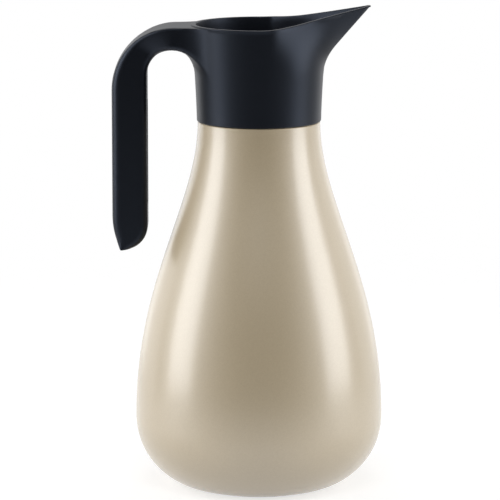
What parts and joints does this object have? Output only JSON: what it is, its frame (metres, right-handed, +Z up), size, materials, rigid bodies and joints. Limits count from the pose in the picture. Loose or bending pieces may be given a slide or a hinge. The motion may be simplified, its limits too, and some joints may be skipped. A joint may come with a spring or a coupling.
{
  "type": "vacuum jug",
  "caption": "Pear-shaped insulated jug with a dark pouring collar, beak spout, hooked open handle and a lift-out stopper whose push button opens a spring-closed valve.",
  "frame": {"origin": "centre of the underside of the base pad, on the jug's axis", "axes": "+Z up along the jug's axis, +X towards the spout, the handle is at -X and the picture looks along +Y"},
  "size_m": [0.157, 0.144, 0.2811],
  "materials": {
    "champagne_lacquer": "pearl champagne lacquer, satin gloss",
    "stainless_steel": "drawn stainless steel",
    "black_plastic": "moulded polypropylene, satin",
    "grey_plastic": "moulded polypropylene, fine texture",
    "silicone": "moulded silicone",
    "getter_alloy": "pressed powder capsule"
  },
  "bodies": {
    "jug": {"outer_shell": "champagne_lacquer", "inner_liner": "stainless_steel", "base_disc": "stainless_steel", "vacuum_plug": "stainless_steel", "getter_capsule": "getter_alloy", "base_pad": "silicone", "pour_collar": "black_plastic", "handle_cover": "grey_plastic", "collar_gasket": "silicone", "bush_washer": "silicone", "neck_bush": "grey_plastic"},
    "stopper": {"stopper_body": "black_plastic", "stopper_turret": "black_plastic", "stopper_seal": "silicone", "stopper_cap": "black_plastic", "stem_seal": "silicone", "spring_washer": "stainless_steel", "button_spring": "stainless_steel"},
    "button": {"push_button": "grey_plastic", "valve_stem": "stainless_steel", "valve_plate": "grey_plastic", "valve_gasket": "silicone", "valve_nut": "stainless_steel"}
  },
  "joints": [
    {"name": "stopper_lift", "type": "slide", "parent": "jug", "child": "stopper", "axis": [0, 0, 1], "range_m": [0, 0.09]},
    {"name": "button_press", "type": "slide", "parent": "stopper", "child": "button", "axis": [0, 0, -1], "range_m": [0, 0.006], "stiffness_N_per_m": 900, "springref_m": -0.004, "deforming": ["button_spring"]}
  ]
}
